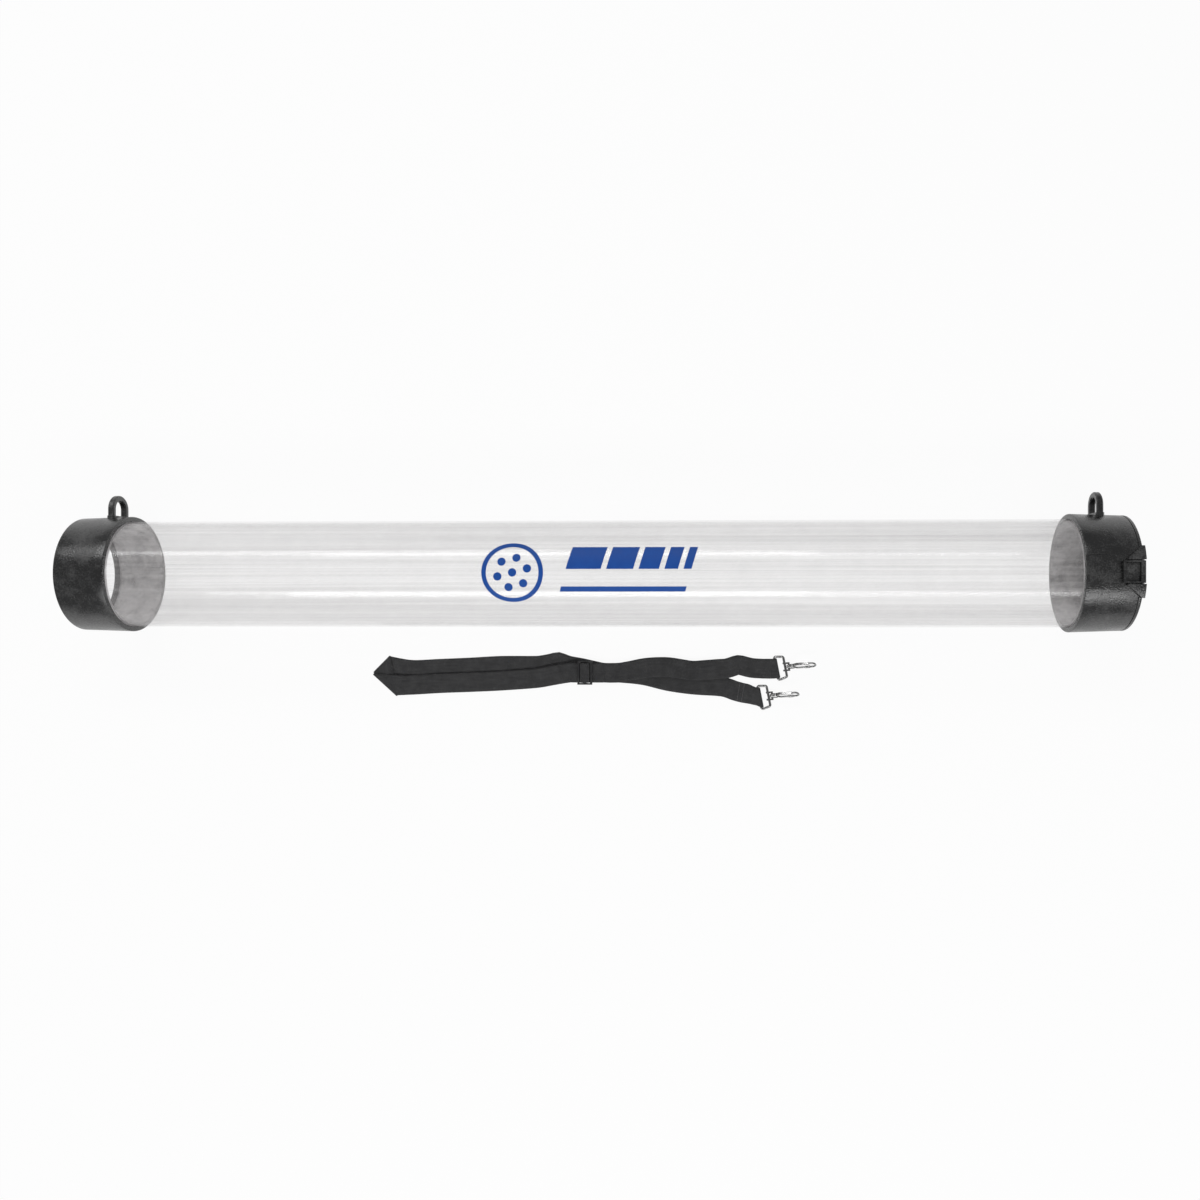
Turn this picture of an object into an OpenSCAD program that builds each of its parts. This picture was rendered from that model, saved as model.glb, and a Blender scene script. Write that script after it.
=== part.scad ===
// Pickleball pickup tube: a clear tube between two moulded collars. The pickup collar's lip lets
// balls in, and a hinged, latched lid on the release collar lets them out. A webbing strap with
// two swivel snap hooks lies folded beside the tube and clips to the eyelets on the collars.
// The X axis is the tube's axis, from the pickup mouth at X = 0 towards the lid. The eyelets
// point along +Y and the latch faces +Z, away from the floor that the tube lies on.

/* [Tube] */
// Outer diameter of the clear tube
tube_od = 82.5; // [80:0.5:88]
// Wall of the clear tube
tube_wall = 1.5; // [1.2:0.1:2.5]
// Length of the clear tube
tube_l = 797.6; // [400:1:1000]

/* [Collars] */
// Radial wall of a collar at its inner rim
rim_wall = 3.75; // [3.2:0.05:4.2]
// How much a collar's radius tapers from its inner rim to its outer end
collar_taper = 1.2; // [0.6:0.1:1.6]
// Length of the pickup collar
pickup_l = 38.5; // [30:0.5:60]
// Length of the release collar, without the lid
release_l = 39; // [34:0.5:60]
// Radius of the pickup mouth, which is a little less than a ball's 37 mm
mouth_r = 36; // [34:0.5:36.8]
// Thickness of the soft lip round the pickup mouth
lip_t = 2.4; // [1.6:0.1:4]
// Thickness of the release collar's stop flange
flange_t = 2.7; // [2:0.1:5]
// Radius of the opening in the stop flange
flange_r = 38.5; // [37.6:0.1:39]
// Radius of the rounded outer edges
edge_r = 0.6; // [0.5:0.1:2.4]
// Width of the shallow thumb panel on the release collar
panel_w = 25; // [16:0.5:32]
// Length of the thumb panel, from the inner rim to where it fades out
panel_l = 20.6; // [12:0.2:24]

/* [Eyelets] */
// Distance of an eyelet from its collar's inner rim, on the pickup collar
pickup_eye_in = 13.8; // [9:0.2:26]
// Distance of an eyelet from its collar's inner rim, on the release collar
release_eye_in = 21.7; // [9:0.2:26]
// Height of an eyelet's crown above the collar's rim
eye_h = 16.7; // [14:0.1:22]
// Outer width of an eyelet
eye_w = 21.8; // [20:0.2:24]
// Stock of an eyelet, measured away from its hole
eye_stock = 4.4; // [3.4:0.1:5]
// Stock of an eyelet along the tube
eye_t = 4.8; // [3.6:0.1:6]

/* [Lid] */
// Thickness of the lid
lid_t = 2.6; // [2.2:0.1:4]
// Gap between the lid and the collar's end
lid_gap = 0.2; // [0.1:0.05:0.4]
// Radius of the pins
pin_r = 0.8; // [0.6:0.05:0.9]
// Radial clearance round a pin
pin_gap = 0.05; // [0.03:0.01:0.1]
// Radius of the lid hinge's knuckles
knuckle_r = 2.2; // [1.9:0.05:2.3]
// Width of the lid's own knuckle
lid_knuckle_w = 8; // [6:0.5:10]
// Width of the whole lid hinge
hinge_w = 23; // [18:0.5:25]

/* [Latch] */
// Width of the latch lever
latch_w = 16.2; // [12:0.2:20]
// Length of the latch lever from its pin to its tip
latch_l = 14; // [12:0.2:18]
// Thickness of the latch lever
latch_t = 1.9; // [1.4:0.1:2.4]
// Width of the latch lever's window
window_w = 13.7; // [9:0.1:17]
// Length of the latch lever's window
window_l = 10.7; // [8:0.1:13]
// Width of both latch ears together, at the lid
ears_w = 38; // [34:0.5:46]
// Thickness of the latch ears
ears_t = 3.6; // [3:0.1:4.4]

/* [Strap] */
// Width of the webbing
web_w = 16; // [12:0.5:16.4]
// Thickness of the webbing
web_t = 1; // [0.6:0.05:1]
// Gap between two layers of webbing
web_gap = 0.2; // [0.15:0.05:0.4]

/* [Hardware] */
// Diameter of the wire that the hook loops are made of
loop_d = 2; // [1.4:0.1:2]
// Clear width of a hook loop, for the webbing
loop_w = 17.4; // [17:0.1:20]
// Clear depth of a hook loop
loop_in = 5.5; // [3.2:0.1:6]
// Diameter of a hook's swivel neck
neck_d = 4; // [3.4:0.1:4.2]
// Diameter of a hook's swivel stem
stem_d = 1.9; // [1.6:0.1:2.4]
// Diameter of a hook's wire
hook_d = 1.5; // [1.3:0.1:2]
// Length of a hook from its yoke to its crown
hook_l = 21.5; // [18:0.5:24]
// Width of a hook, centre to centre of its wires
hook_w = 7.8; // [7:0.1:8.4]
// Thickness of the adjuster's frame
glide_t = 1.5; // [1.2:0.1:2]

/* [Hidden] */
$fn = 64;
black = "#1c1c1e";
steel = "#c4c6c9";

// Places along the tube, and radii round it
tube_r = tube_od / 2;
tube_gap = 0.1;
seat_gap = 0.1;
tube_x = lip_t + seat_gap;
bore_r = tube_r + tube_gap;
rim_r = bore_r + rim_wall;
end_r = rim_r - collar_taper;
tube_end_x = tube_x + tube_l;
flange_x = tube_end_x + seat_gap;
release_end_x = flange_x + flange_t;
release_x = release_end_x - release_l;
panel_r = rim_r - collar_taper * panel_l / release_l;
lid_x = release_end_x + lid_gap;
lid_end_x = lid_x + lid_t;
lid_r = end_r;
small_r = 0.8;
floor_z = -rim_r;

// The lid's hinge lies across the bottom of the collar's end
hinge_x = release_end_x + lid_gap / 2;
hinge_z = -end_r + knuckle_r - 0.3;
hinge_clear = 0.25;

// The latch pin lies across the top of the lid
latch_x = lid_x + 0.8;
barrel_r = pin_r + 1.1;
latch_z = end_r + 1.5;
latch_rest_z = end_r + 1.15;
latch_side_gap = 0.7;
ear_gap = 0.45;
ears_r = end_r + ear_gap + ears_t;
ear_in = latch_w / 2 + latch_side_gap;
ear_tip_x = latch_x - latch_l + 2.8;
pin_reach = ear_in + 2.8;

// Eyelets
pickup_eye_x = pickup_l - pickup_eye_in;
release_eye_x = release_x + release_eye_in;
eye_ring_r = (eye_w - eye_stock) / 2;
eye_y = rim_r + eye_h - eye_w / 2;

// The floor's layers of webbing, each the height of a layer's middle
web_pitch = web_t + web_gap;
layer = [for (i = [0:4]) floor_z + web_t / 2 + i * web_pitch];

// Adjuster
glide_at = [389.5, -79.7];
glide_gap = 0.1;
glide_z = layer[3] + web_t / 2 + glide_gap;
glide_l = 12.2;
glide_rail = 1.3;
glide_bars = [[-6.1, -4.3], [-1.1, 0.9], [4.3, 6.1]];

// Hooks: the middle of each loop's webbing bar and the way the loop faces
bar_z = layer[0] + web_t / 2 + 0.1 + loop_d / 2;
wrap_r = loop_d / 2 + 0.1 + web_t / 2;
loop_a_at = [544.9, -76, bar_z];
loop_b_at = [531.4, -99.7, bar_z];
loop_a_turn = 11;
loop_b_turn = 11;
// Both hooks lie tipped up on their backs, and a little askew on their loops
hook_pitch = 13;
hook_yaw = -5.5;
hook_roll = 64;

function unit(v) = v / norm(v);
function arc(c, r, a0, a1, n) = [for (i = [0:n]) c + r * [cos(a0 + (a1 - a0) * i / n), sin(a0 + (a1 - a0) * i / n)]];

// The webbing is a list of stations, each a middle point and a vector to one edge.
// A run's own points are [x, y, z, rise, skew], where rise lifts its edge on the station's side
// and skew turns its crosswise line.
function heading(p, i) = unit([p[min(i + 1, len(p) - 1)].x - p[max(i - 1, 0)].x,
                               p[min(i + 1, len(p) - 1)].y - p[max(i - 1, 0)].y]);
function run(p, side) = [
    for (i = [0:len(p) - 1])
        let (d = heading(p, i), skew = len(p[i]) > 4 ? p[i][4] : 0, c = cos(skew), s = sin(skew))
        [[p[i].x, p[i].y, p[i].z],
         side * [-d.y * c - d.x * s, d.x * c - d.y * s, 0] * web_w / 2 + [0, 0, p[i][3]]]
];
// A flat fold over a slanted line, from one layer up to the next
function fold(at, z, a_in, a_out, side) =
    let (a = (a_in + a_out) / 2, half = web_w / 2 / sin(a - a_in), r = web_pitch / 2)
    [for (i = [0:4])
        let (t = 45 * i)
        [[at.x + r * sin(t) * cos(a - 90), at.y + r * sin(t) * sin(a - 90), z + r * (1 - cos(t))],
         side * half * [cos(a), sin(a), 0]]];
// A turn round a loop's bar, between the top at angle 0 and the bottom at 180
function wrap(at, turn, from, to) =
    [for (i = [0:6])
        let (t = from + (to - from) * i / 6)
        [at + wrap_r * [cos(turn) * sin(t), sin(turn) * sin(t), cos(t)],
         web_w / 2 * [-sin(turn), cos(turn), 0]]];
// The same stations with their edge on the other side
function flip(s) = [for (q = s) [q[0], -q[1]]];
// A stretch that goes up and down through the adjuster, from points [x, z]
function through(p, half) = [for (q = p) [[glide_at.x + q.x, glide_at.y, layer[3] + q.y], half]];

half_south = [0, -web_w / 2, 0];
sewn_end = [
    [512.5, -94.5, layer[0], 0, 2],
    [517.5, -95.8, layer[0], 0, 6],
    [522.5, -96.7, layer[0], 0, 14],
    [527.6, -98.2, layer[0], 0, 28]
];
single_leg = [
    [527.4, -98.1, layer[1] + 0.9, 0, 28],
    [522.5, -96.7, layer[1], 0, 14],
    [517.5, -95.8, layer[1], 0, 6],
    [511, -94, layer[1], 0, 2],
    [504.5, -91.7, layer[0], 0],
    [497, -90.6, layer[0], 0],
    [477, -89.4, layer[0], 0],
    [457, -86.6, layer[0], 0],
    [437.5, -82, layer[0], 0],
    [418, -80, layer[0], 0],
    [405, -79.9, layer[0], 0],
    [396, -78.2, layer[0], 0],
    [387, -76.2, layer[0], 0],
    [375.5, -74.1, layer[0], 0],
    [370.5, -72.3, layer[0], 0],
    [366.7, -71, layer[0], 0],
    [362, -72.2, layer[0], 0],
    [352, -74, layer[0], 0],
    [344, -74.3, layer[0], 0],
    [319, -74.4, layer[0], 0],
    [294, -75.8, layer[0], 0],
    [269, -76.9, layer[0], 0],
    [247, -77.9, layer[0], 0],
    [234, -76.2, layer[0], 0]
];
tip_upper = [221.3, -73.7];
tip_lower = [224.4, -89.9];
lower_column = [
    [241, -90.6, layer[1], -0.9],
    [250, -90.2, layer[1] - 0.3, -0.9],
    [269, -89, layer[1] - 0.3, -0.9],
    [294, -88, layer[1] - 0.3, -0.9],
    [319, -86.8, layer[1] - 0.3, -0.9],
    [344, -85, layer[1] - 0.1, -1.1],
    [353, -84, layer[1] - 0.1, -1.1],
    [362, -82.3, layer[1], -1.1],
    [371, -80.7, layer[1] + 0.3, -0.9]
];
over_centre_bar = [
    [-12, -0.7], [-8, 0], [-5.6, -0.05], [-4.2, -0.05], [-3.45, 0.6], [-3.25, 2.1], [-2.7, 3.3],
    [-1.4, 4], [-0.1, 4.1], [1.3, 4], [2.5, 3.2], [2.95, 1.8], [3.1, 0.6], [3.9, 0],
    [5.5, 0], [8, 0], [12, 0], [13.9, -0.1], [15.9, -1.1]
];
double_top = [
    [409, -79.9, layer[2], 0],
    [418, -79.6, layer[2], 0],
    [428, -77.8, layer[2], 0],
    [438, -75.8, layer[2], 0],
    [448, -75, layer[2], 0],
    [458, -75.1, layer[2], 0],
    [468, -76.6, layer[2], 0],
    [477, -77.9, layer[2], 0],
    [487, -77.3, layer[2], 0],
    [497, -76.5, layer[2], 0],
    [504.5, -76, layer[1] + 1, 0],
    [509.5, -74.6, layer[1] + 0.2, 0],
    [514.2, -73.2, layer[1], 0],
    [518.8, -74.1, layer[1], 0],
    [525, -75.6, layer[1], 0],
    [534, -76.2, layer[1], 0, 3],
    [540.9, -76.3, layer[1] + 0.9, 0, 11]
];
// The doubled leg's lower layer follows its upper one, a layer down
double_bottom = [for (i = [len(double_top) - 2:-1:0])
    [double_top[i].x, double_top[i].y, double_top[i].z - web_pitch, 0]];
round_centre_bar = [
    [10, -2.4], [4, -2.4], [1, -2.4], [-0.9, -1.6], [-1.8, -0.2], [-1.8, 2.2], [-1.25, 2.75],
    [-0.1, 2.8], [1.05, 2.75], [1.6, 2.2], [1.6, -0.2], [2.7, -1.15], [6.5, -1.2], [13.8, -1.2]
];

stations = concat(
    flip(run(sewn_end, -1)),
    wrap(loop_b_at, loop_b_turn, 180, 0),
    run(single_leg, -1),
    fold(tip_upper, layer[0], 169, 281, -1),
    fold(tip_lower, layer[1], 281, 355, 1),
    run(lower_column, -1),
    through(over_centre_bar, half_south),
    run(double_top, -1),
    flip(wrap(loop_a_at, loop_a_turn, 0, 180)),
    run(double_bottom, 1),
    through(round_centre_bar, half_south)
);
web_length = len(stations) < 2 ? 0 : [for (i = 0, s = 0; i < len(stations); s = s + (i + 1 < len(stations)
    ? norm(stations[i + 1][0] - stations[i][0]) : 0), i = i + 1) s][len(stations) - 1];
echo(webbing_length = web_length);

// Turns a solid that was made round Z to lie round the tube's axis
module along_x(x = 0) {
    translate([x, 0, 0]) rotate([0, 90, 0]) children();
}

// A cylinder along Y, centred on Y
module across_y(x, z, r, w) {
    translate([x, w / 2, z]) rotate([90, 0, 0]) cylinder(r = r, h = w);
}

// A box that is centred across Y
module slab(x0, x1, w, z0, z1) {
    translate([x0, -w / 2, z0]) cube([x1 - x0, w, z1 - z0]);
}

// The flat points p with each corner rounded to its own radius in r
function turn_at(p, i) =
    let (n = len(p), a = unit(p[i] - p[(i + n - 1) % n]), b = unit(p[(i + 1) % n] - p[i]))
    atan2(a.x * b.y - a.y * b.x, a * b);
function bend(p, i, r, n) =
    let (
        turn = turn_at(p, i),
        a = unit(p[i] - p[(i + len(p) - 1) % len(p)]),
        start = p[i] - a * r * tan(abs(turn) / 2),
        centre = start + sign(turn) * r * [-a.y, a.x],
        a0 = atan2(start.y - centre.y, start.x - centre.x)
    )
    arc(centre, r, a0, a0 + turn, n);
function rounded(p, r, closed) = [
    for (i = [0:len(p) - 1])
        each !closed && (i == 0 || i == len(p) - 1) ? [p[i]] : bend(p, i, r[i], 6)
];

// A round wire of diameter d along the flat points p
module wire(p, d, closed = false) {
    n = len(p);
    k = 16;
    points = [for (i = [0:n - 1])
        let (
            a = closed || i > 0 ? unit(p[i] - p[(i + n - 1) % n]) : unit(p[1] - p[0]),
            b = closed || i < n - 1 ? unit(p[(i + 1) % n] - p[i]) : a,
            t = unit(a + b),
            side = [-t.y, t.x] / (t * b)
        )
        for (j = [0:k - 1])
            let (w = d / 2 * cos(360 * j / k))
            [p[i].x + w * side.x, p[i].y + w * side.y, d / 2 * sin(360 * j / k)]];
    skin = [for (i = [0:closed ? n - 1 : n - 2], j = [0:k - 1])
        let (i2 = (i + 1) % n, j2 = (j + 1) % k)
        each [[k * i + j, k * i2 + j2, k * i + j2], [k * i + j, k * i2 + j, k * i2 + j2]]];
    caps = closed ? [] : [[for (j = [0:k - 1]) j], [for (j = [k - 1:-1:0]) k * (n - 1) + j]];
    polyhedron(points, concat(skin, caps), convexity = 6);
}

// An eyelet with its hole along the tube, and the foot that it grows from
module eyelet(x) {
    c = 0.9;
    section = [
        [-eye_stock / 2 + c, -eye_t / 2], [eye_stock / 2 - c, -eye_t / 2],
        [eye_stock / 2, -eye_t / 2 + c], [eye_stock / 2, eye_t / 2 - c],
        [eye_stock / 2 - c, eye_t / 2], [-eye_stock / 2 + c, eye_t / 2],
        [-eye_stock / 2, eye_t / 2 - c], [-eye_stock / 2, -eye_t / 2 + c]
    ];
    root_y = bore_r + 0.9;
    foot_h = rim_r + 0.5 - root_y;
    foot_x = eye_t / 2 + 0.7;
    translate([x, eye_y, 0]) rotate([90, 0, 90]) {
        rotate([0, 0, -90])
            rotate_extrude(angle = 180)
                translate([eye_ring_r, 0]) polygon(section);
        for (side = [-1, 1])
            translate([0, side * eye_ring_r, 0])
                rotate([0, -90, 0])
                    linear_extrude(eye_y - root_y)
                        polygon([for (q = section) [q.y, q.x]]);
    }
    translate([x, root_y, 0]) rotate([-90, 0, 0])
        linear_extrude(foot_h)
            polygon([
                [-foot_x, -eye_w / 2 + 1], [-foot_x, eye_w / 2 - 1], [-foot_x + 1.4, eye_w / 2 + 0.8],
                [foot_x - 1.4, eye_w / 2 + 0.8], [foot_x, eye_w / 2 - 1], [foot_x, -eye_w / 2 + 1],
                [foot_x - 1.4, -eye_w / 2 - 0.8], [-foot_x + 1.4, -eye_w / 2 - 0.8]
            ]);
}

module tube() {
    color("#dfe3e6", 0.35)
        along_x(tube_x) difference() {
            cylinder(r = tube_r, h = tube_l);
            translate([0, 0, -1]) cylinder(r = tube_r - tube_wall, h = tube_l + 2);
        }
}

module pickup_collar() {
    lip_round = 0.6;
    color(black) {
        along_x() rotate_extrude($fn = 96) polygon(concat(
            [[mouth_r, lip_t - lip_round], [mouth_r, lip_round]],
            arc([mouth_r + lip_round, lip_round], lip_round, 225, 270, 1),
            arc([end_r - edge_r, edge_r], edge_r, -90, 0, 5),
            arc([rim_r - small_r, pickup_l - small_r], small_r, 0, 90, 3),
            [[bore_r, pickup_l], [bore_r, lip_t], [mouth_r + lip_round, lip_t]]
        ));
        eyelet(pickup_eye_x);
    }
}

module release_collar() {
    catch_w = window_w - 0.7;
    catch_x = latch_x - latch_l + 2.1;
    color(black) {
        difference() {
            union() {
                along_x(release_x) rotate_extrude($fn = 96) polygon(concat(
                    [[bore_r, 0]],
                    arc([rim_r - small_r, small_r], small_r, -90, 0, 3),
                    arc([end_r - edge_r, release_l - edge_r], edge_r, 0, 90, 5),
                    [[flange_r, release_l], [flange_r, release_l - flange_t],
                     [bore_r, release_l - flange_t]]
                ));
                for (side = [-1, 1])
                    translate([0, side * (hinge_w + lid_knuckle_w + 0.4) / 4, 0])
                        across_y(hinge_x, hinge_z, knuckle_r, (hinge_w - lid_knuckle_w - 0.4) / 2);
                // The low catch that shows in the latch's window
                slab(catch_x, latch_x - barrel_r - 0.15, catch_w, end_r - 2, latch_rest_z - 0.15);
            }
            // Pocket for the lid's knuckle and holes for the hinge pin
            across_y(hinge_x, hinge_z, knuckle_r + hinge_clear, lid_knuckle_w + 0.4);
            across_y(hinge_x, hinge_z, pin_r + pin_gap, hinge_w + 2);
            // Shallow thumb panel, which runs straight until the collar's taper meets it
            difference() {
                slab(release_x - 1, release_x + panel_l, panel_w, rim_r - 6, rim_r + 1);
                along_x(release_x - 2) cylinder(r = panel_r, h = panel_l + 3, $fn = 96);
            }
        }
        eyelet(release_eye_x);
    }
}

module lid() {
    dish = 0.6;
    saddle_w = latch_w + 2 * latch_side_gap;
    color(black) difference() {
        union() {
            difference() {
                along_x(lid_x) rotate_extrude($fn = 96) polygon(concat(
                    [[0, 0]],
                    [[lid_r, 0]],
                    arc([lid_r - 1.2, lid_t - 1.2], 1.2, 0, 90, 4),
                    [[lid_r - 6, lid_t], [lid_r - 6.8, lid_t - dish], [0, lid_t - dish]]
                ));
                // Chord above the hinge, and the notch for the collar's knuckles
                slab(lid_x - 1, lid_end_x + 1, 2 * lid_r, -lid_r - 1, hinge_z + 0.5);
                slab(lid_x - 1, lid_end_x + 1, hinge_w + 0.6, -lid_r - 1, hinge_z + knuckle_r + 0.4);
            }
            // The lid's own knuckle and the web that carries it
            across_y(hinge_x, hinge_z, knuckle_r, lid_knuckle_w);
            slab(lid_x, lid_end_x - 0.5, lid_knuckle_w, hinge_z, hinge_z + knuckle_r + 1);
            // Ears on each side of the latch, curved round the collar
            intersection() {
                union() {
                    along_x(ear_tip_x) difference() {
                        cylinder(r = ears_r, h = lid_end_x - ear_tip_x, $fn = 96);
                        translate([0, 0, -1])
                            cylinder(r = ears_r - ears_t, h = lid_end_x - ear_tip_x + 2, $fn = 96);
                    }
                    along_x(lid_x) difference() {
                        cylinder(r = ears_r - 0.5, h = lid_t, $fn = 96);
                        translate([0, 0, -1]) cylinder(r = lid_r - 3, h = lid_t + 2, $fn = 96);
                    }
                }
                for (side = [-1, 1])
                    linear_extrude(ears_r + 1) polygon([
                        [ear_tip_x, side * ear_in], [ear_tip_x, side * (ear_in + 1)],
                        [lid_x + 0.6, side * ears_w / 2], [lid_end_x, side * ears_w / 2],
                        [lid_end_x, side * ear_in]
                    ]);
            }
        }
        across_y(hinge_x, hinge_z, pin_r + pin_gap, hinge_w);
        // Saddle under the latch's barrel, and the ears' pin holes
        across_y(latch_x, latch_z, barrel_r + 0.25, saddle_w);
        across_y(latch_x, latch_z, pin_r + pin_gap, 2 * pin_reach + 0.2);
    }
}

module lid_hinge_pin() {
    color(steel) across_y(hinge_x, hinge_z, pin_r, hinge_w - 0.4);
}

module latch() {
    tip_x = latch_x - latch_l;
    window_x = latch_x - barrel_r - window_l;
    lip_l = 1.3;
    color(black) difference() {
        union() {
            across_y(latch_x, latch_z, barrel_r, latch_w);
            slab(tip_x, latch_x, latch_w, latch_rest_z, latch_rest_z + latch_t);
            // Finger lip
            slab(tip_x - 0.6, tip_x + lip_l - 0.6, latch_w, latch_rest_z + 0.3, latch_rest_z + latch_t + 0.5);
        }
        slab(window_x, window_x + window_l, window_w, latch_rest_z - 1, latch_rest_z + latch_t + 1);
        across_y(latch_x, latch_z, pin_r + pin_gap, latch_w + 2);
    }
}

module latch_pin() {
    color(steel) across_y(latch_x, latch_z, pin_r, 2 * pin_reach);
}

module webbing_strap() {
    n = len(stations);
    mid = [for (s = stations) s[0]];
    points = [for (i = [0:n - 1])
        let (
            t = mid[min(i + 1, n - 1)] - mid[max(i - 1, 0)],
            h = stations[i][1],
            up = unit(cross(t, h)) * web_t / 2
        )
        each [mid[i] + h + up, mid[i] + h - up, mid[i] - h - up, mid[i] - h + up]];
    sides = [for (i = [0:n - 2], k = [0:3])
        let (a = 4 * i + k, b = 4 * i + (k + 1) % 4)
        each [[a, a + 4, b + 4], [a, b + 4, b]]];
    last = 4 * (n - 1);
    ends = [[0, 1, 2], [0, 2, 3], [last, last + 2, last + 1], [last, last + 3, last + 2]];
    color("#161618") polyhedron(points, concat(sides, ends), convexity = 10);
}

module adjuster_slide() {
    inner_w = web_w + 0.7;
    rail_w = inner_w + 2 * glide_rail;
    color(black) translate([glide_at.x, glide_at.y, glide_z]) {
        for (b = glide_bars)
            translate([b[0], -rail_w / 2, 0]) cube([b[1] - b[0], rail_w, glide_t]);
        for (side = [-1, 1])
            translate([-glide_l / 2, side * (inner_w + glide_rail) / 2 - glide_rail / 2, 0])
                cube([glide_l, glide_rail, glide_t]);
    }
}

// Places along a hook. In its loop's frame the webbing bar is at 0 and X is towards the hook.
front_x = loop_in + loop_d;
yoke_y = 2.9;
yoke_t = 1.3;
bridge_x = 2.3;
bridge_l = 1.6;
// From here on X is 0 at the inner face of the yoke's bridge
neck_x = bridge_l + 0.1;
neck_l = 3.4;
crown_x = bridge_l + hook_l;
nose_x = crown_x - 5;
rivet_x = neck_x + 1.9;
rivet_y = neck_d / 2 - 1.1;
rivet_r = 0.45;
gate_gap = 0.15;
gate_t = 1.1;
gate_h = 1.9;

module at_loop(at, turn) {
    translate(at) rotate([0, 0, turn]) children();
}

module at_yoke(at, turn) {
    at_loop(at, turn) translate([front_x, 0, 0])
        rotate([0, -hook_pitch, 0]) rotate([0, 0, hook_yaw]) children();
}

module at_hook(at, turn) {
    at_yoke(at, turn) translate([bridge_x, 0, 0]) rotate([hook_roll, 0, 0]) children();
}

module loop(at, turn) {
    half = (loop_w + loop_d) / 2;
    corners = [[0, -half], [front_x, -half + 1.4], [front_x, half - 1.4], [0, half]];
    color(steel) at_loop(at, turn)
        wire(rounded(corners, [1.5, 1.5, 1.5, 1.5], true), loop_d, true);
}

module yoke(at, turn) {
    arm = yoke_y + yoke_t / 2;
    color(steel) at_yoke(at, turn) difference() {
        union() {
            for (side = [-1, 1])
                translate([0, side * yoke_y, 0]) {
                    across_y(0, 0, loop_d / 2 + 0.9, yoke_t);
                    slab(0, bridge_x + bridge_l, yoke_t, -0.7, 0.7);
                }
            slab(bridge_x, bridge_x + bridge_l, 2 * arm, -0.7, 0.7);
            along_x(bridge_x) cylinder(d = neck_d, h = bridge_l);
        }
        // The bore stays true to the loop's bar
        rotate([0, 0, -hook_yaw]) across_y(0, 0, loop_d / 2 + pin_gap, 2 * arm + 2);
        along_x(bridge_x - 1) cylinder(d = stem_d + 2 * pin_gap, h = bridge_l + 2);
    }
}

module hook(at, turn) {
    low = -hook_w / 2;
    tip = crown_x - hook_d / 2;
    line = [[neck_x + neck_l - 0.9, -0.9], [neck_x + neck_l + 1.4, low], [tip, low],
            [tip, hook_w / 2], [nose_x, hook_w / 2]];
    color(steel) at_hook(at, turn) difference() {
        union() {
            // Peened head, stem and neck
            along_x(-0.95) cylinder(d = stem_d + 0.8, h = 0.85);
            along_x(-0.5) cylinder(d = stem_d, h = neck_x + 1);
            along_x(neck_x) cylinder(d = neck_d, h = neck_l);
            wire(rounded(line, [0, 2.2, 3.2, 3.2, 0], false), hook_d);
            // Thicker middle of the hook's back
            translate([0, low, 0]) along_x(nose_x - 4.6) cylinder(d = hook_d + 0.6, h = 4);
        }
        // Slot for the gate's root, and the hole for its rivet
        translate([neck_x + 0.5, -0.3, -gate_h / 2 - gate_gap])
            cube([neck_l, neck_d, gate_h + 2 * gate_gap]);
        translate([rivet_x, rivet_y, -neck_d])
            cylinder(r = rivet_r + pin_gap, h = 2 * neck_d);
    }
}

module gate(at, turn) {
    reach = nose_x - gate_gap - rivet_x;
    rise = hook_w / 2 - rivet_y;
    color(steel) at_hook(at, turn) translate([rivet_x, rivet_y, -gate_h / 2]) difference() {
        union() {
            cylinder(r = 1, h = gate_h);
            linear_extrude(gate_h) polygon([
                [0, -gate_t / 2], [2.6, rise - gate_t - 0.6], [4.6, rise - gate_t / 2],
                [reach, rise - gate_t / 2], [reach - 0.4, rise + gate_t / 2], [4, rise + gate_t / 2],
                [1.4, rise - 0.6], [0, gate_t / 2]
            ]);
        }
        translate([0, 0, -1]) cylinder(r = rivet_r + pin_gap, h = gate_h + 2);
    }
}

module gate_rivet(at, turn) {
    color(steel) at_hook(at, turn)
        translate([rivet_x, rivet_y, -neck_d / 2 + 0.35]) cylinder(r = rivet_r, h = neck_d - 0.7);
}

tube();
pickup_collar();
release_collar();
lid();
lid_hinge_pin();
latch();
latch_pin();
webbing_strap();
adjuster_slide();
loop(loop_a_at, loop_a_turn);  // loop_a
yoke(loop_a_at, loop_a_turn);  // yoke_a
hook(loop_a_at, loop_a_turn);  // hook_a
gate(loop_a_at, loop_a_turn);  // gate_a
gate_rivet(loop_a_at, loop_a_turn);  // gate_rivet_a
loop(loop_b_at, loop_b_turn);  // loop_b
yoke(loop_b_at, loop_b_turn);  // yoke_b
hook(loop_b_at, loop_b_turn);  // hook_b
gate(loop_b_at, loop_b_turn);  // gate_b
gate_rivet(loop_b_at, loop_b_turn);  // gate_rivet_b
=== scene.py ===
"""The pickleball pickup tube, dressed over its CAD frame.

All sizes are in millimetres and become metres in the meshes. The frame's X axis is the tube's
axis, the eyelets point along +Y and the latch along +Z.
"""

import logging
import math
from dataclasses import dataclass
from enum import Enum

import bpy
from mathutils import Matrix, Vector

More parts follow.
